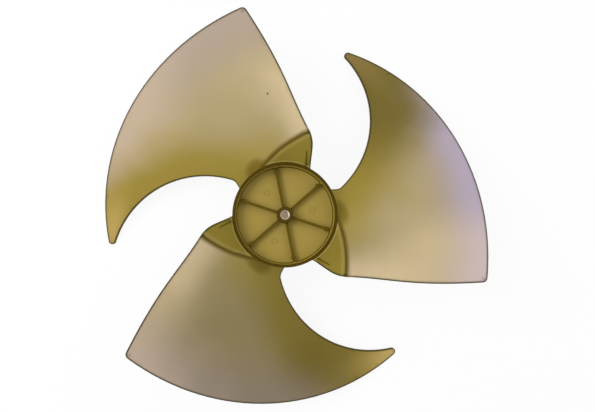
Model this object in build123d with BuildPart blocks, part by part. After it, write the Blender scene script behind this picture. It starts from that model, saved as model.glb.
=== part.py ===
from build123d import *
from math import atan2, cos, degrees, hypot, radians, sin, tan
import os

# Whole fan, in millimetres and degrees. Height 0 is the rear end of the boss and the air leaves upwards.
fan_d = 400.0
blade_count = 3

# Hub: a cup open to the front and to the rear, with one web across it
hub_d = 108.0
hub_h = 35.0
wall_t = 3.0
web_t = 3.0
web_top = 20.0
wall_draft = 2.0
cup_chamfer = 1.0
rim_chamfer = 0.5

# Boss and shaft hole: a round pilot at the motor end, then a length with one flat
boss_d = 17.0
boss_h = 32.0
bore_d = 8.0
bore_flat = 3.0
pilot_d = 8.4
pilot_len = 10.0
front_chamfer = 1.2
rear_chamfer = 0.6
flat_angle = 11.4

# Ribs on both faces of the web, and the round pads near their outer ends
rib_count = 6
rib_angle = 41.4
rib_t = 2.8
rib_h = 6.0
rear_rib_t = 2.0
rear_rib_h = 12.0
pad_d = 5.0
pad_r = 45.5
pad_h = 6.3

# Gate marks: a shallow ring round a nub, in every second bay between the ribs
gate_count = 3
gate_r = 29.5
gate_angle = 9.0
gate_d = 6.5
gate_nub_d = 2.4
gate_depth = 0.5

# Blade surface: height = level - lead * angle + camber * angle squared, at the root and at the tip
root_level = 30.8
tip_level = 49.3
root_lead = 34.0
tip_lead = 86.3
root_camber = 2.0
tip_camber = 23.5
root_t = 5.4
tip_t = 3.2
edge_thinning = 0.2

# Blade outline seen along the axis: angles from the blade's middle, distances out from the hub wall
lead_foot_angle = 36.0
lead_root_out = 10.3
lead_root_angle = 25.5
lead_mid_share = 0.7
lead_mid_angle = 47.5
lead_tip_angle = 73.2
trail_corner_angle = -18.7
trail_mid_share = 0.67
trail_mid_angle = -28.9
trail_start_out = 31.8
trail_start_angle = -44.2
kink_out = 21.0
kink_angle = -50.6
fairing_mid_out = 11.7
fairing_mid_angle = -53.8
foot_angle = -67.0
lead_root_fillet = 10.0
lead_tip_fillet = 4.0
trail_corner_fillet = 6.0

# Fairing: a cone that flares from the hub rim up to the trailing part of each blade
fairing_slope = 55.0
fairing_t = 3.0
fairing_rise = 60.0
fold_fillet = 2.0
edge_chamfer = 0.7
groove_inset = 5.5
groove_w = 1.2
groove_depth = 0.6
groove_stop = 7.0
root_fillet = 0.6

# How far pieces reach into each other before they are joined
root_sink = 0.6
foot_depth = 7.0
fairing_overlap = 1.0
rib_sink = 0.5
span_overrun = 6.0

# Sizes that follow from those above
fan_r = fan_d / 2
hub_r = hub_d / 2
boss_r = boss_d / 2
bore_r = bore_d / 2
pilot_r = pilot_d / 2
web_low = web_top - web_t
inner_r = hub_r - wall_t
web_r = inner_r - (hub_h - web_top) * tan(radians(wall_draft))
rear_r = inner_r - web_low * tan(radians(wall_draft))
seat_r = hub_r - wall_t / 2
root_r = hub_r - root_sink
span_r = fan_r + span_overrun
fairing_run = fairing_rise / tan(radians(fairing_slope))
gap_angle = (lead_foot_angle + foot_angle + 360 / blade_count) / 2
section_angles = [-70 + 18.5 * i for i in range(9)]
stations = [0.8 * hub_r + (span_r - 0.8 * hub_r) * i / 5 for i in range(6)]
sweep = [-0.4 * fan_r + 1.42 * fan_r * i / 8 for i in range(9)]


def polar(r, angle):
    return (r * cos(radians(angle)), r * sin(radians(angle)))


def blade_height(r, angle):
    a = radians(angle)
    w = (r - hub_r) / (fan_r - hub_r)
    level = root_level + (tip_level - root_level) * w
    lead = root_lead + (tip_lead - root_lead) * w
    camber = root_camber + (tip_camber - root_camber) * w
    return level - lead * a + camber * a * a


def blade_thickness(r, angle):
    w = (r - hub_r) / (fan_r - hub_r)
    return (root_t + (tip_t - root_t) * w) * (1 + edge_thinning * radians(angle))


def radial_plane(angle):
    x, y = polar(1, angle)
    return Plane(origin=(0, 0, 0), x_dir=(x, y, 0), z_dir=(y, -x, 0))


def station_plane(x):
    return Plane(origin=(x, 0, 0), x_dir=(0, 1, 0), z_dir=(1, 0, 0))


def blade_curve(x, depth):
    points = []
    for y in sweep:
        r = hypot(x, y)
        angle = degrees(atan2(y, x))
        points.append((y, blade_height(r, angle) - depth * blade_thickness(r, angle)))
    return points


with BuildSketch() as outline:
    foot = polar(hub_r - foot_depth, foot_angle)
    fairing_mid = polar(hub_r + fairing_mid_out, fairing_mid_angle)
    kink = polar(hub_r + kink_out, kink_angle)
    trail_start = polar(hub_r + trail_start_out, trail_start_angle)
    trail_mid = polar(trail_mid_share * fan_r, trail_mid_angle)
    corner = polar(fan_r, trail_corner_angle)
    tip = polar(fan_r, lead_tip_angle)
    lead_mid = polar(lead_mid_share * fan_r, lead_mid_angle)
    lead_root = polar(hub_r + lead_root_out, lead_root_angle)
    lead_foot = polar(hub_r - foot_depth, lead_foot_angle)
    with BuildLine():
        Line((0, 0), foot)
        Spline(foot, fairing_mid, kink, trail_start, trail_mid, corner)
        ThreePointArc(corner, polar(fan_r, (trail_corner_angle + lead_tip_angle) / 2), tip)
        ThreePointArc(tip, lead_mid, lead_root)
        Line(lead_root, lead_foot)
        Line(lead_foot, (0, 0))
    make_face()
    fillet(outline.vertices().sort_by_distance(corner)[0], trail_corner_fillet)
    fillet(outline.vertices().sort_by_distance(tip)[0], lead_tip_fillet)
    fillet(outline.vertices().sort_by_distance(lead_root)[0], lead_root_fillet)
    Circle(seat_r, mode=Mode.SUBTRACT)

# Everything below the middle of the blade's thickness
with BuildPart() as under_blade:
    for angle in section_angles:
        with BuildSketch(radial_plane(angle)):
            low = blade_height(web_r, angle) - blade_thickness(web_r, angle) / 2
            high = blade_height(span_r, angle) - blade_thickness(span_r, angle) / 2
            Polygon((web_r, low), (span_r, high), (span_r, -fan_r), (web_r, -fan_r), align=None)
    loft()

# Conical fairing sheet, kept only below the blade
with BuildPart() as fairing:
    with BuildSketch(Plane.XZ):
        reach = fairing_t / sin(radians(fairing_slope))
        slope = tan(radians(fairing_slope))
        Polygon(
            (root_r, hub_h - root_sink * slope + fairing_overlap),
            (hub_r + fairing_run - fairing_overlap, hub_h + fairing_rise),
            (hub_r + fairing_run + reach, hub_h + fairing_rise),
            (root_r, hub_h - (reach + root_sink) * slope),
            align=None,
        )
    revolve(axis=Axis.Z)
    add(under_blade.part, mode=Mode.INTERSECT)

# Fine groove along the free edge of the fairing
with BuildPart() as groove:
    with BuildSketch():
        with BuildLine():
            free_edge = Line(foot, kink, mode=Mode.PRIVATE)
            inward = free_edge.tangent_at(0).rotate(Axis.Z, 90) * groove_inset
            stop = free_edge @ (1 - groove_stop / free_edge.length)
            Line(free_edge @ 0 + inward, stop + inward)
        trace(line_width=groove_w)
    extrude(amount=fan_r)
    with BuildSketch(Plane.XZ):
        depth = groove_depth / sin(radians(fairing_slope))
        Polygon(
            (hub_r + depth, hub_h),
            (hub_r + depth + fairing_run, hub_h + fairing_rise),
            (0, hub_h + fairing_rise),
            (0, hub_h),
            align=None,
        )
    revolve(axis=Axis.Z, mode=Mode.INTERSECT)

with BuildPart() as blade:
    for x in stations:
        with BuildSketch(station_plane(x)):
            with BuildLine():
                front = Spline(*blade_curve(x, 0))
                rear = Spline(*blade_curve(x, 1))
                Line(front @ 0, rear @ 0)
                Line(front @ 1, rear @ 1)
            make_face()
    loft()
    add(fairing.part)
    with BuildSketch(Plane.XZ):
        Polygon(
            (0, hub_h),
            (hub_r, hub_h),
            (hub_r + fairing_run, hub_h + fairing_rise),
            (0, hub_h + fairing_rise),
            align=None,
        )
    revolve(axis=Axis.Z, mode=Mode.SUBTRACT)
    cones = blade.faces().filter_by(GeomType.CONE)
    skins = blade.faces().filter_by(GeomType.BSPLINE).sort_by(SortBy.AREA)[-2:]
    fillet(cones.edges() & skins.edges(), fold_fillet)
    add(extrude(outline.sketch, amount=fan_r, both=True, mode=Mode.PRIVATE), mode=Mode.INTERSECT)
    outer_edge = blade.faces().filter_by(GeomType.CYLINDER).sort_by(SortBy.AREA)[-1]
    chamfer(outer_edge.edges().sort_by(SortBy.LENGTH)[-2:], edge_chamfer)
    add(groove.part, mode=Mode.SUBTRACT)

with BuildPart() as fan_impeller:
    with BuildSketch(radial_plane(gap_angle)) as hub_profile:
        Polygon(
            (0, 0),
            (boss_r, 0),
            (boss_r, web_low),
            (rear_r, web_low),
            (inner_r, 0),
            (hub_r, 0),
            (hub_r, hub_h),
            (inner_r, hub_h),
            (web_r, web_top),
            (boss_r, web_top),
            (boss_r, boss_h),
            (0, boss_h),
            align=None,
        )
        for point in ((web_r, web_top), (boss_r, web_top), (rear_r, web_low), (boss_r, web_low)):
            chamfer(hub_profile.vertices().sort_by_distance(point)[0], cup_chamfer)
        for point in ((inner_r, hub_h), (inner_r, 0), (hub_r, 0), (boss_r, boss_h)):
            chamfer(hub_profile.vertices().sort_by_distance(point)[0], rim_chamfer)
    revolve(axis=Axis.Z)

    # Ribs and pads
    rib_len = web_r - boss_r + 2 * rib_sink
    with BuildSketch(Plane.XY.offset(web_top - rib_sink)):
        with PolarLocations(boss_r - rib_sink + rib_len / 2, rib_count, start_angle=rib_angle):
            Rectangle(rib_len, rib_t)
    extrude(amount=rib_h + rib_sink)
    with BuildSketch(Plane.XY.offset(web_top - rib_sink)):
        with PolarLocations(pad_r, rib_count, start_angle=rib_angle):
            Circle(pad_d / 2)
    extrude(amount=pad_h + rib_sink)
    with BuildSketch(Plane.XY.offset(web_low - rear_rib_h)):
        with PolarLocations(boss_r - rib_sink + rib_len / 2, rib_count, start_angle=rib_angle):
            Rectangle(rib_len, rear_rib_t)
    extrude(amount=rear_rib_h + rib_sink)

    # Gate marks
    with BuildSketch(Plane.XY.offset(web_top)):
        with PolarLocations(gate_r, gate_count, start_angle=gate_angle):
            Circle(gate_d / 2)
            Circle(gate_nub_d / 2, mode=Mode.SUBTRACT)
    extrude(amount=-gate_depth, mode=Mode.SUBTRACT)

    # Shaft hole
    with BuildSketch():
        Circle(pilot_r)
    extrude(amount=pilot_len, mode=Mode.SUBTRACT)
    with BuildSketch(Plane((0, 0, pilot_len), polar(1, flat_angle) + (0,))):
        Circle(bore_r)
        with Locations((bore_flat + bore_r, 0)):
            Rectangle(bore_d, 2 * bore_d, mode=Mode.SUBTRACT)
    extrude(amount=boss_h - pilot_len, mode=Mode.SUBTRACT)
    boss_front = fan_impeller.faces().filter_by_position(Axis.Z, boss_h - 0.01, boss_h + 0.01)
    chamfer(boss_front[0].inner_wires().edges(), front_chamfer)
    boss_rear = fan_impeller.faces().filter_by_position(Axis.Z, -0.01, 0.01).sort_by(SortBy.AREA)[0]
    chamfer(boss_rear.inner_wires().edges(), rear_chamfer)

    # Blades, blended into the hub wall
    with PolarLocations(0, blade_count):
        add(blade.part)
    walls = fan_impeller.faces().filter_by(GeomType.CYLINDER)
    hub_walls = walls.filter_by(lambda face: abs(face.radius - hub_r) < 0.01)
    root_edges = hub_walls.edges().filter_by(GeomType.BSPLINE)
    fillet(root_edges, root_fillet)

fan_impeller.part.label = "fan_impeller"
os.makedirs("parts", exist_ok=True)
export_step(fan_impeller.part, "parts/fan_impeller.step")
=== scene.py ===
import math

import bmesh
import bpy
from mathutils import Matrix, Vector


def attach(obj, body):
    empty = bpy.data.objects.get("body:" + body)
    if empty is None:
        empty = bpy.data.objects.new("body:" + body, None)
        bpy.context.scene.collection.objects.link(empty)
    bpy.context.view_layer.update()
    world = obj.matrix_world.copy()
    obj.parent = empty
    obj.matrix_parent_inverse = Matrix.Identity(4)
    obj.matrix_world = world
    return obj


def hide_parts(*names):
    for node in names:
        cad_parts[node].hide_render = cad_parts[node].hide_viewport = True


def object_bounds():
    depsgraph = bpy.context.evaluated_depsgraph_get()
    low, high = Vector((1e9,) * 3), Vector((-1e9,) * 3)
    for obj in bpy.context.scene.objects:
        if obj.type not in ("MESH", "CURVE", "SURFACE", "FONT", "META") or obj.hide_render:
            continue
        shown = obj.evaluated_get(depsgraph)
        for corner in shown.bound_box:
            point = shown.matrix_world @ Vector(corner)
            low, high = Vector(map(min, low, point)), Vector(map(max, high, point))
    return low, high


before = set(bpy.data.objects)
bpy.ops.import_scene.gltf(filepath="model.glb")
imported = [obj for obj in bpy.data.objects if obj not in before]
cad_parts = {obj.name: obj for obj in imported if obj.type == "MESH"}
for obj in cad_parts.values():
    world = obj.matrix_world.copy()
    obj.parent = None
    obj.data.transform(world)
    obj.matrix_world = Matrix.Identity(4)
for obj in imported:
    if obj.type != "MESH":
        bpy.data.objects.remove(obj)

cad_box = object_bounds()
MM = 0.001

# Sizes of the part that the dressing follows, in millimetres and degrees
HUB_R, HUB_H = 54.0, 35.0
INNER_R, WEB_TOP = 51.0, 20.0
BOSS_R, BOSS_TOP = 8.5, 32.0
BORE_R = 4.0
GATE_PLACE_R, GATE_ANGLE, GATE_R = 29.5, 9.0, 3.25
FAN_R = 200.0
FAIRING_SLOPE, FAIRING_T = 55.0, 3.0
ROOT_LEVEL, TIP_LEVEL = 30.8, 49.3
ROOT_LEAD, TIP_LEAD = 34.0, 86.3
ROOT_CAMBER, TIP_CAMBER = 2.0, 23.5
ROOT_T, TIP_T = 5.4, 3.2
EDGE_THINNING = 0.2
# The blade's middle line turns forward with the radius
MID_R, MID_ANGLE, MID_RATE = 60.0, -18.0, 0.32
PITCH = 120.0
FOLD_END = math.radians(-47)
# How near a point and how level a face has to be to count as part of a skin
SKIN_TOL, SKIN_COS = 0.45, math.cos(math.radians(18))
# What counts as the fold, as an upright wall and as deeper than the groove
FOLD_REACH, WALL_TILT, GROOVE_CLEAR = 4.5, 0.25, 1.6
# Mesh of the dressed piece: longest edge, width of the band, angle of a sharp edge
LONGEST_EDGE, BAND_W, SHARP_ANGLE = 6.0, 1.3, 32.0


def blade_place(x, y):
    """Radius in mm and angle in radians from the blade's own zero line of a point given in metres."""
    r = math.hypot(x, y) / MM
    mid = MID_ANGLE + (r - MID_R) * MID_RATE
    turn = math.degrees(math.atan2(y, x)) - mid
    turn = (turn + PITCH / 2) % PITCH - PITCH / 2
    return r, math.radians(turn + mid)


def blade_skin(r, a):
    """Heights of the blade's front and rear skins, in mm."""
    w = (r - HUB_R) / (FAN_R - HUB_R)
    level = ROOT_LEVEL + (TIP_LEVEL - ROOT_LEVEL) * w
    lead = ROOT_LEAD + (TIP_LEAD - ROOT_LEAD) * w
    camber = ROOT_CAMBER + (TIP_CAMBER - ROOT_CAMBER) * w
    front = level - lead * a + camber * a * a
    thick = (ROOT_T + (TIP_T - ROOT_T) * w) * (1 + EDGE_THINNING * a)
    return front, front - thick


def cone_height(r, back):
    """Height of the fairing's front cone, or of the cone a sheet's thickness behind it, in mm."""
    return HUB_H + (r - HUB_R - back) * math.tan(math.radians(FAIRING_SLOPE))


def skin_height(side, r, a):
    """Height in mm of one skin: 1 and 2 are the blade's front and rear, 3 and 4 the fairing's."""
    if side < 3:
        return blade_skin(r, a)[side - 1]
    return cone_height(r, (side - 3) * FAIRING_T / math.sin(math.radians(FAIRING_SLOPE)))


def skin_offset(co, side):
    """How far a point stands above a skin, in mm."""
    r, a = blade_place(co.x, co.y)
    return co.z / MM - skin_height(side, r, a)


def skin_side(co):
    """The skin that a point lies on, or 0."""
    if math.hypot(co.x, co.y) < (HUB_R + 0.4) * MM:
        return 0
    side = min((1, 2, 3, 4), key=lambda k: abs(skin_offset(co, k)))
    return side if abs(skin_offset(co, side)) < SKIN_TOL else 0


def skin_normal(co, side):
    """Upward normal of a skin over a point, from its slopes along X and Y."""
    step = 0.5 * MM
    here = skin_offset(co, side)
    slope_x = (here - skin_offset(co + Vector((step, 0, 0)), side)) * MM / step
    slope_y = (here - skin_offset(co + Vector((0, step, 0)), side)) * MM / step
    return Vector((-slope_x, -slope_y, 1)).normalized()


def skin_faces(bm, side):
    """Faces that lie in one skin, as face and side."""
    found = {}
    for f in bm.faces:
        sides = {v[side] for v in f.verts}
        if len(sides) == 1 and 0 not in sides:
            k = sides.pop()
            if abs(f.normal.dot(skin_normal(f.calc_center_median(), k))) > SKIN_COS:
                found[f] = k
    return found


def key(point):
    return tuple(round(c, 7) for c in point)


def refine(bm, side, longest):
    """Halve the skins' long edges until all are short, with the new points on the skins."""
    for step in range(7):
        bm.normal_update()
        split = {e: k for f, k in skin_faces(bm, side).items() for e in f.edges
                 if e.calc_length() > longest * MM}
        if not split:
            break
        middles = {}
        for e, k in split.items():
            lift = sum(skin_offset(v.co, k) for v in e.verts) / 2
            middles[key((e.verts[0].co + e.verts[1].co) / 2)] = k, lift
        before = set(bm.verts)
        bmesh.ops.subdivide_edges(bm, edges=list(split), cuts=1)
        for v in bm.verts:
            if v not in before and key(v.co) in middles:
                v[side], lift = middles[key(v.co)]
                v.co.z += (lift - skin_offset(v.co, v[side])) * MM
        bmesh.ops.triangulate(bm, faces=[f for f in bm.faces if len(f.verts) > 3])


def on_fold(co):
    """Whether a point is where fairing and blade meet, short of the trailing edge."""
    r, a = blade_place(co.x, co.y)
    gaps = [abs(skin_height(k + 2, r, a) - skin_height(k, r, a)) for k in (1, 2)]
    return a > FOLD_END and min(gaps) < FOLD_REACH


def on_free_edge(co):
    """Whether a point may be on a blade's outline: clear of the hub and of the fold."""
    return math.hypot(co.x, co.y) > (HUB_R + 2.5) * MM and not on_fold(co)


def depth(co):
    """How far a point lies below the front of blade or fairing, in mm."""
    return -max(skin_offset(co, 1), skin_offset(co, 3))


def outline_wall(f):
    """Whether a face is in the upright edge of a blade or fairing, which is deeper than the groove."""
    return abs(f.normal.z) < WALL_TILT and max(depth(v.co) for v in f.verts) > GROOVE_CLEAR


def impeller_mesh(source, longest, border):
    """A closed copy of the moulding: finer on blades and fairings, with a narrow band along their edges."""
    bm = bmesh.new()
    bm.from_mesh(source.data)
    bmesh.ops.remove_doubles(bm, verts=bm.verts, dist=0.004 * MM)
    bmesh.ops.dissolve_degenerate(bm, edges=bm.edges, dist=0.002 * MM)
    edge = bm.verts.layers.float.new("edge")
    side = bm.verts.layers.int.new("side")
    for v in bm.verts:
        v[side] = skin_side(v.co)
    refine(bm, side, longest)
    bm.normal_update()
    skins = set(skin_faces(bm, side))
    skins |= {f for f in bm.faces if abs(f.normal.z) > WALL_TILT and on_fold(f.calc_center_median())
              and all(math.hypot(v.co.x, v.co.y) > (HUB_R + 0.4) * MM for v in f.verts)}
    skins = list(skins)
    band = bmesh.ops.inset_region(bm, faces=skins, thickness=border * MM,
                                  use_even_offset=True, use_boundary=True)
    inside = {v for f in skins for v in f.verts}
    # No band along the hub: there its points go back to the skin's own edge
    spokes = {e for f in band["faces"] for e in f.edges if len(inside.intersection(e.verts)) == 1}
    back = {}
    for e in spokes:
        inner, outer = sorted(e.verts, key=lambda v: v not in inside)
        if math.hypot(outer.co.x, outer.co.y) < (HUB_R + 3.0) * MM:
            back[inner] = outer
    bmesh.ops.weld_verts(bm, targetmap=back)
    inside = {v for v in inside if v.is_valid}
    bm.normal_update()
    # Outline walls and the band beside them carry the mask of painted shade along the outlines
    wall = {v for f in bm.faces if outline_wall(f) for v in f.verts if on_free_edge(v.co)}
    beside = {v for f in bm.faces if wall.intersection(f.verts) for v in f.verts}
    for v in bm.verts:
        near = v in beside and v not in inside and on_free_edge(v.co)
        v[edge] = 1.0 if v in wall or near else 0.0
    bmesh.ops.triangulate(bm, faces=[f for f in bm.faces if len(f.verts) > 4])
    bmesh.ops.recalc_face_normals(bm, faces=bm.faces)
    mesh = bpy.data.meshes.new("impeller_body")
    bm.to_mesh(mesh)
    bm.free()
    return mesh


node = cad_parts["fan_impeller"]
mesh = impeller_mesh(node, LONGEST_EDGE, BAND_W)
mesh.set_sharp_from_angle(angle=math.radians(SHARP_ANGLE))
mesh.polygons.foreach_set("use_smooth", [abs(f.normal.z) < 0.9999 for f in mesh.polygons])
body = bpy.data.objects.new("impeller_body", mesh)
bpy.context.collection.objects.link(body)
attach(body, "root")
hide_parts("fan_impeller")


class Nodes:
    """Short names for building a node tree."""

    def __init__(self, tree):
        self.tree = tree
        tree.nodes.clear()

    def add(self, kind, **inputs):
        n = self.tree.nodes.new(kind)
        for key, value in inputs.items():
            self.put(n, key, value)
        return n

    def put(self, n, key, value):
        index = int(key[1:]) if key[0] == "i" and key[1:].isdigit() else key.replace("_", " ")
        socket = n.inputs[index]
        if isinstance(value, bpy.types.NodeSocket):
            self.tree.links.new(value, socket)
        else:
            socket.default_value = value

    def math(self, operation, *values):
        n = self.tree.nodes.new("ShaderNodeMath")
        n.operation = operation
        for k, value in enumerate(values):
            self.put(n, f"i{k}", value)
        return n.outputs[0]

    def ramp(self, value, low, high):
        n = self.tree.nodes.new("ShaderNodeMapRange")
        n.interpolation_type = "SMOOTHSTEP"
        for key, v in (("Value", value), ("From Min", low), ("From Max", high)):
            self.put(n, key, v)
        return n.outputs[0]

    def mix(self, factor, a, b):
        n = self.tree.nodes.new("ShaderNodeMix")
        n.data_type = "RGBA"
        for k, v in ((0, factor), (6, a), (7, b)):
            self.put(n, f"i{k}", v)
        return n.outputs[2]

    def spot(self, vector, place, outer, inner):
        n = self.add("ShaderNodeVectorMath", i0=vector, i1=place)
        n.operation = "DISTANCE"
        return self.ramp(n.outputs["Value"], outer, inner)

    def noise(self, vector, scale, detail=3.0, roughness=0.5):
        n = self.add("ShaderNodeTexNoise", Vector=vector, Scale=scale, Detail=detail, Roughness=roughness)
        return n.outputs["Fac"]


def srgb(*shade):
    """A colour as it shows on screen, 0 to 255, as the linear colour that a shader takes."""
    return tuple(((c / 255 + 0.055) / 1.055) ** 2.4 if c > 10 else c / 255 / 12.92 for c in shade) + (1.0,)


WEB = srgb(170, 148, 73)
RING = srgb(70, 54, 0)
WALL = srgb(132, 112, 40)
LIP_HIGHLIGHT = srgb(210, 188, 110)
WALL_HIGHLIGHT = srgb(176, 154, 62)
RIB = srgb(92, 75, 8)
BOSS = srgb(74, 57, 4)
BORE_GLINT = srgb(232, 214, 198)
FAIRING = srgb(162, 144, 60)
ROOT = srgb(180, 160, 92)
LEAD = srgb(170, 149, 68)
TIP = srgb(206, 178, 106)
MIDDLE = srgb(192, 174, 134)
RIM = srgb(186, 169, 160)
LILAC_SHEEN = srgb(196, 184, 214)
TRAIL = srgb(228, 207, 172)
ROOT_SHADE = srgb(128, 106, 26)
PAINTED_SHADE = srgb(92, 80, 40)
FOLD_SHADE = srgb(104, 84, 10)
EDGE = srgb(46, 37, 0)
PAINTED_LIGHT = srgb(255, 230, 196)
UMBER = srgb(96, 76, 16)
# Places of a painted shadow of the hub at each blade root, of a speck, and of a darker brown patch
ROOT_SHADE_R, ROOT_SHADE_REACH = 56.0, 13.0
ROOT_SHADE_ANGLE, ROOT_SHADE_SPREAD = 2.0, 17.0
SPECK_PLACE = (-17.4, 117.7, 0.0)
UMBER_PLACE = (28.8, -160.7, 0.0)


def amber_plastic():
    mat = bpy.data.materials.new("amber_plastic")
    mat.use_nodes = True
    n = Nodes(mat.node_tree)
    place = n.add("ShaderNodeTexCoord").outputs["Object"]
    xyz = n.add("ShaderNodeSeparateXYZ", Vector=place).outputs
    x, y, z = (n.math("MULTIPLY", c, 1000.0) for c in xyz)
    r = n.math("SQRT", n.math("ADD", n.math("MULTIPLY", x, x), n.math("MULTIPLY", y, y)))
    theta = n.math("ARCTAN2", y, x)
    mid = n.math("MULTIPLY_ADD", r, math.radians(MID_RATE), math.radians(MID_ANGLE - MID_R * MID_RATE))
    turn = n.math("WRAP", n.math("SUBTRACT", theta, mid), math.radians(PITCH / 2), math.radians(-PITCH / 2))
    a = n.math("ADD", turn, mid)
    chord = n.math("DIVIDE", turn, math.radians(48))
    cloud = n.noise(place, 14.0, 3.0, 0.55)
    drift = n.math("MULTIPLY_ADD", cloud, 0.5, -0.25)

    # Height of the fairing's cone over the blade's skin: below 0 on the fairing, 0 at the fold
    w = n.math("DIVIDE", n.math("SUBTRACT", r, HUB_R), FAN_R - HUB_R)
    level = n.math("MULTIPLY_ADD", w, TIP_LEVEL - ROOT_LEVEL, ROOT_LEVEL)
    lead = n.math("MULTIPLY_ADD", w, TIP_LEAD - ROOT_LEAD, ROOT_LEAD)
    camber = n.math("MULTIPLY_ADD", w, TIP_CAMBER - ROOT_CAMBER, ROOT_CAMBER)
    skin = n.math("MULTIPLY_ADD", n.math("MULTIPLY_ADD", camber, a, n.math("MULTIPLY", lead, -1.0)), a, level)
    cone = n.math("MULTIPLY_ADD", n.math("SUBTRACT", r, HUB_R), math.tan(math.radians(FAIRING_SLOPE)), HUB_H)
    over = n.math("SUBTRACT", cone, skin)

    # Blade: grey-lilac rim partly from painted sheen, a painted lilac reflection towards +X, beige middle and
    # trailing side, olive root and leading side
    ahead = n.math("ADD", chord, drift)
    out = n.math("MULTIPLY_ADD", drift, 30.0, r)
    # Outer rim in grey-lilac, its tint partly painted sheen
    colour = n.mix(n.ramp(out, 130.0, 195.0), MIDDLE, RIM)
    # Painted lilac reflection on the outer rim towards +X
    lilac_sheen = n.math("MULTIPLY", n.ramp(out, 150.0, 200.0), n.ramp(x, 90.0, 185.0))
    colour = n.mix(n.math("MULTIPLY", lilac_sheen, 0.8), colour, LILAC_SHEEN)
    trail = n.math("MULTIPLY", n.ramp(ahead, -0.1, -0.7), n.ramp(out, 175.0, 110.0))
    colour = n.mix(trail, colour, TRAIL)
    colour = n.mix(n.math("MULTIPLY", n.ramp(out, 112.0, 66.0), n.ramp(ahead, -0.6, 0.1)), colour, ROOT)
    colour = n.mix(n.ramp(ahead, 0.05, 0.7), colour, LEAD)
    colour = n.mix(n.math("MULTIPLY", n.ramp(r, 165.0, 195.0), n.ramp(chord, 0.5, 0.85)), colour, TIP)
    # Painted shadow of the hub, seen through each blade near its root
    spot_r = n.math("DIVIDE", n.math("SUBTRACT", out, ROOT_SHADE_R), ROOT_SHADE_REACH)
    spot_a = n.math("DIVIDE", n.math("SUBTRACT", a, math.radians(ROOT_SHADE_ANGLE)), math.radians(ROOT_SHADE_SPREAD))
    spot = n.math("ADD", n.math("MULTIPLY", spot_r, spot_r), n.math("MULTIPLY", spot_a, spot_a))
    colour = n.mix(n.math("MULTIPLY", n.ramp(spot, 1.0, 0.1), 0.85), colour, ROOT_SHADE)
    # Painted highlight on the fairing, lighter towards the fold
    fold_glint = n.ramp(over, -4.5, -2.4)
    colour = n.mix(n.ramp(over, 0.6, -0.6), colour, n.mix(n.math("MULTIPLY", fold_glint, 0.35), FAIRING, LIP_HIGHLIGHT))
    # Painted shade in the crease where fairing and blade meet
    colour = n.mix(n.math("MULTIPLY", n.ramp(over, -0.8, 0.6), n.ramp(over, 8.0, 1.6)), colour, FOLD_SHADE)
    # Painted shade in the groove
    deep = n.math("SUBTRACT", cone, z)
    groove = n.math("MULTIPLY", n.ramp(deep, 0.1, 0.5), n.ramp(deep, 2.2, 1.6))
    colour = n.mix(n.math("MULTIPLY", groove, n.ramp(over, -3.0, -4.0)), colour, FOLD_SHADE)
    # Painted highlight along the fairing's start at the hub rim
    colour = n.mix(n.math("MULTIPLY", n.ramp(over, 0.0, -1.0), n.ramp(r, 55.6, 55.0)), colour, LIP_HIGHLIGHT)
    # Painted shade on the low blade and the leading side of the right one, painted light at the far left and
    # right
    low = n.math("MULTIPLY", n.ramp(x, 130.0, 60.0), n.ramp(ahead, -1.0, 0.0))
    low = n.math("MULTIPLY", n.ramp(y, 10.0, -120.0), low)
    right = n.math("MULTIPLY", n.ramp(y, 20.0, 110.0), n.ramp(ahead, 0.0, 0.55))
    right = n.math("MULTIPLY", n.ramp(x, 20.0, 70.0), right)
    painted_shade_mask = n.math("MULTIPLY_ADD", right, 0.62, n.math("MULTIPLY", low, 0.5))
    colour = n.mix(painted_shade_mask, colour, PAINTED_SHADE)
    left_light_mask = n.math("MULTIPLY", n.ramp(x, -80.0, -160.0), n.ramp(ahead, 0.75, 0.15))
    right_light_mask = n.math("MULTIPLY", n.ramp(x, 90.0, 170.0), n.ramp(y, 20.0, -30.0))
    colour = n.mix(n.math("MULTIPLY", n.math("ADD", left_light_mask, right_light_mask), 0.3), colour, PAINTED_LIGHT)
    flat = n.add("ShaderNodeCombineXYZ", X=x, Y=y).outputs[0]
    colour = n.mix(n.math("MULTIPLY", n.spot(flat, UMBER_PLACE, 52.0, 4.0), 0.36), colour, UMBER)
    colour = n.mix(n.spot(flat, SPECK_PLACE, 1.2, 0.5), colour, EDGE)
    # Painted shade along the outlines of blades and fairings
    edge = n.add("ShaderNodeAttribute")
    edge.attribute_name = "edge"
    colour = n.mix(edge.outputs["Fac"], colour, EDGE)

    # Hub: olive web, darker where ribs, pads, boss and wall stand on it
    raised = n.ramp(z, WEB_TOP + 0.4, WEB_TOP + 1.4)
    hub = n.mix(raised, WEB, RIB)
    for k in range(3):
        angle = math.radians(GATE_ANGLE + PITCH * k)
        centre = (GATE_PLACE_R * math.cos(angle), GATE_PLACE_R * math.sin(angle), 0.0)
        hollow = n.math("SUBTRACT", 1.0, n.spot(flat, centre, GATE_R - 0.15, GATE_R - 0.75))
        ring = n.math("MULTIPLY", n.spot(flat, centre, GATE_R + 0.45, GATE_R - 0.05), hollow)
        hub = n.mix(n.math("MULTIPLY", ring, 0.3), hub, RIB)
    hub = n.mix(n.math("MULTIPLY", raised, n.ramp(r, BOSS_R + 0.9, BOSS_R + 0.1)), hub, BOSS)
    # Painted glint on the bore's chamfer
    bore_glint = n.math("MULTIPLY", n.ramp(z, BOSS_TOP - 1.6, BOSS_TOP - 1.1), n.ramp(r, BORE_R + 0.9, BORE_R + 0.6))
    hub = n.mix(bore_glint, hub, BORE_GLINT)
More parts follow.
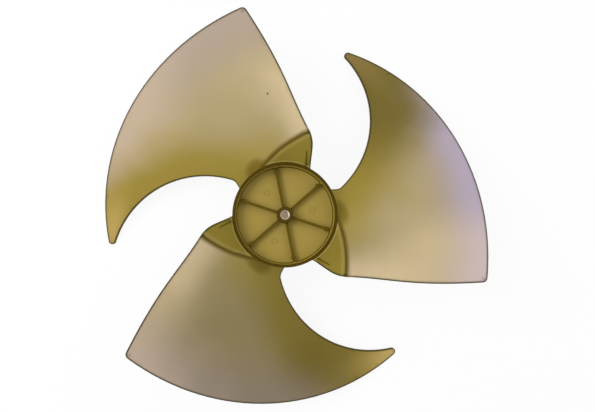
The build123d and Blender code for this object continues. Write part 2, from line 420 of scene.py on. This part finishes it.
    # Painted highlight on the upper part of the inner wall, near its rim
    inner_wall = n.mix(n.ramp(z, WEB_TOP + 3.0, WEB_TOP + 6.0), RING, WALL_HIGHLIGHT)
    hub = n.mix(n.ramp(r, INNER_R - 1.2, INNER_R - 0.7), hub, inner_wall)
    outer_wall = n.mix(n.ramp(z, HUB_H - 0.6, HUB_H - 2.0), RING, WALL)
    hub = n.mix(n.ramp(r, INNER_R - 0.25, INNER_R + 0.1), hub, outer_wall)
    blade = n.ramp(r, HUB_R + 0.1, HUB_R + 0.5)
    colour = n.mix(blade, hub, colour)

    # Slow waves of the moulding, duller and glossier clouds, and a hub that is less clear than the blades
    wave = n.noise(place, 30.0, 1.0)
    bump = n.add("ShaderNodeBump", Strength=0.05, Distance=0.0006, Height=wave)
    rough = n.math("MULTIPLY_ADD", blade, -0.2, n.math("MULTIPLY_ADD", cloud, 0.12, 0.44))
    clear = n.math("MULTIPLY_ADD", blade, 0.45, 0.15)
    shade = n.add("ShaderNodeBsdfPrincipled", Base_Color=colour, Roughness=rough, IOR=1.4,
                  Specular_IOR_Level=0.3, Specular_Tint=(0.9, 0.72, 0.3, 1), Transmission_Weight=clear,
                  Normal=bump.outputs[0])
    absorb = n.add("ShaderNodeVolumeAbsorption", Color=(0.58, 0.58, 0.0, 1), Density=60.0)
    n.add("ShaderNodeOutputMaterial", Surface=shade.outputs[0], Volume=absorb.outputs[0])
    return mat


mesh.materials.clear()
mesh.materials.append(amber_plastic())


def white_for_eye(n):
    """1 for rays from the camera and for what gloss and clear plastic show, else 0."""
    path = n.add("ShaderNodeLightPath").outputs
    seen = n.math("MAXIMUM", path["Is Camera Ray"], path["Is Glossy Ray"])
    return n.math("MAXIMUM", seen, path["Is Transmission Ray"])


scene = bpy.context.scene
scene.view_settings.view_transform = "Standard"

world = bpy.data.worlds.new("studio")
scene.world = world
world.use_nodes = True
n = Nodes(world.node_tree)
strength = n.math("MULTIPLY_ADD", white_for_eye(n), 0.35, 0.65)
sky = n.add("ShaderNodeBackground", Color=(1, 1, 1, 1), Strength=strength)
n.add("ShaderNodeOutputWorld", Surface=sky.outputs[0])

floor_mesh = bpy.data.meshes.new("floor")
half, low = 6.0, cad_box[0][2] - 0.0002
corners = [(-half, -half, 0), (half, -half, 0), (half, half, 0), (-half, half, 0)]
floor_mesh.from_pydata(corners, [], [(0, 1, 2, 3)])
floor = bpy.data.objects.new("floor", floor_mesh)
floor.location.z = low
bpy.context.collection.objects.link(floor)
paper = bpy.data.materials.new("white_floor")
paper.use_nodes = True
n = Nodes(paper.node_tree)
matt = n.add("ShaderNodeBsdfDiffuse", Color=(0.9, 0.9, 0.9, 1))
glow = n.add("ShaderNodeEmission", Color=(1, 1, 1, 1), Strength=1.0)
path = n.add("ShaderNodeLightPath").outputs
see = n.math("MAXIMUM", n.math("MULTIPLY", path["Is Camera Ray"], 0.9), path["Is Transmission Ray"])
see = n.math("MAXIMUM", see, path["Is Glossy Ray"])
# Painted shadow on the floor under the hub, seen by the camera through the bore
spot = n.add("ShaderNodeVectorMath")
spot.operation = "LENGTH"
n.put(spot, "i0", n.add("ShaderNodeTexCoord").outputs["Object"])
hub_shadow = n.math("MULTIPLY", n.ramp(spot.outputs["Value"], 0.03, 0.012), path["Is Camera Ray"])
n.put(glow, "Color", n.mix(hub_shadow, (1, 1, 1, 1), srgb(150, 130, 106)))
both = n.add("ShaderNodeMixShader", i0=see, i1=matt.outputs[0], i2=glow.outputs[0])
n.add("ShaderNodeOutputMaterial", Surface=both.outputs[0])
floor_mesh.materials.append(paper)


def lamp(name, place, aim, size, watts, tint=(1, 1, 1)):
    light = bpy.data.lights.new(name, "AREA")
    light.shape = "DISK"
    light.size = size
    light.energy = watts
    light.color = tint
    obj = bpy.data.objects.new(name, light)
    obj.location = place
    obj.rotation_euler = (Vector(aim) - Vector(place)).to_track_quat("-Z", "Y").to_euler()
    bpy.context.collection.objects.link(obj)


lamp("key", (-0.75, 0.2, 1.0), (0, 0, 0.03), 0.8, 8.0)
lamp("fill", (0.8, 0.7, 0.8), (0, 0, 0.03), 0.9, 3.0, (0.93, 0.93, 1.0))

# Camera, looking down the shaft from the front
FOCAL_PX, WIDTH_PX, HEIGHT_PX = 510.0, 595.0, 412.0
EYE_HEIGHT = 0.5571
AXIS_U, AXIS_V = 285.0, 214.9
TILT_X, TILT_Y = -0.015, 0.015
cam = bpy.data.cameras.new("camera")
cam.sensor_fit = "HORIZONTAL"
cam.sensor_width = 36.0
cam.lens = FOCAL_PX / WIDTH_PX * cam.sensor_width
cam.shift_x = (WIDTH_PX / 2 - AXIS_U) / WIDTH_PX
cam.shift_y = (AXIS_V - HEIGHT_PX / 2) / WIDTH_PX
cam.clip_start = 0.01
eye = bpy.data.objects.new("camera", cam)
bpy.context.collection.objects.link(eye)
pivot = Matrix.Translation((0, 0, 0.03))
tilt = Matrix.Rotation(TILT_Y, 4, "Y") @ Matrix.Rotation(TILT_X, 4, "X")
eye.matrix_world = pivot @ tilt.inverted() @ pivot.inverted() @ Matrix.Translation((0, 0, EYE_HEIGHT))
scene.camera = eye
